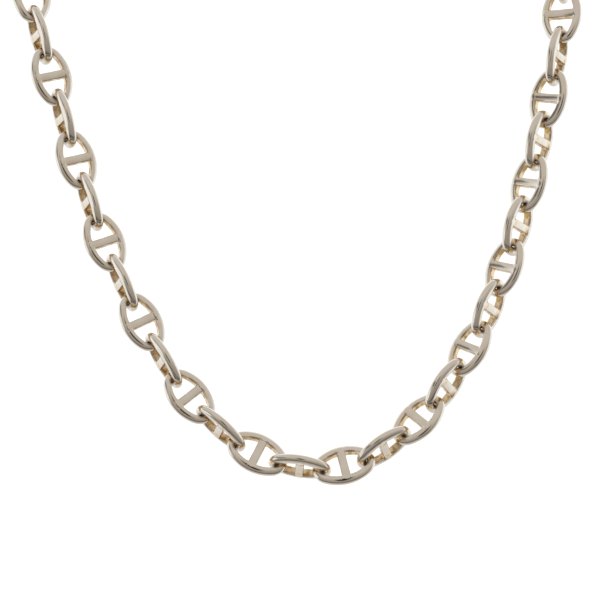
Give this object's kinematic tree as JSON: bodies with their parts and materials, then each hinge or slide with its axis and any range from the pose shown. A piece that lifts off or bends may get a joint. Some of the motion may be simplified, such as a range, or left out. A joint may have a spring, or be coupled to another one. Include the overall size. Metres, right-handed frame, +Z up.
{
  "type": "mariner link chain necklace",
  "caption": "Closed neck chain of oval links, each with a crossbar, hooked at right angles, with a plain ring-and-eye clasp at the nape.",
  "frame": {"origin": "on the axis of the wearer's neck, level with the nape stretch of the chain", "axes": "+X to the right seen from the front, +Y to the wearer's back, +Z up the neck; the front of the chain hangs on the -Y side and leans back by about 27 degrees"},
  "size_m": [0.1479, 0.1149, 0.1506],
  "materials": {
    "silver": "polished silver, slightly warm, with fine scratches and yellow-brown tarnish in the recesses"
  },
  "bodies": {
    "root": {"link_01": "silver", "link_02": "silver", "link_03": "silver", "link_04": "silver", "link_05": "silver", "link_06": "silver", "link_07": "silver", "link_08": "silver", "link_09": "silver", "link_10": "silver", "link_11": "silver", "link_12": "silver", "link_13": "silver", "link_14": "silver", "link_15": "silver", "link_16": "silver", "link_17": "silver", "link_18": "silver", "link_19": "silver", "link_20": "silver", "link_21": "silver", "link_22": "silver", "link_23": "silver", "link_24": "silver", "link_25": "silver", "link_26": "silver", "link_27": "silver", "link_28": "silver", "link_29": "silver", "link_30": "silver", "link_31": "silver", "link_32": "silver", "link_33": "silver", "link_34": "silver", "link_35": "silver", "link_36": "silver", "link_37": "silver", "link_38": "silver", "link_39": "silver", "link_40": "silver", "link_41": "silver", "link_42": "silver", "link_43": "silver", "clasp": "silver"}
  },
  "joints": []
}
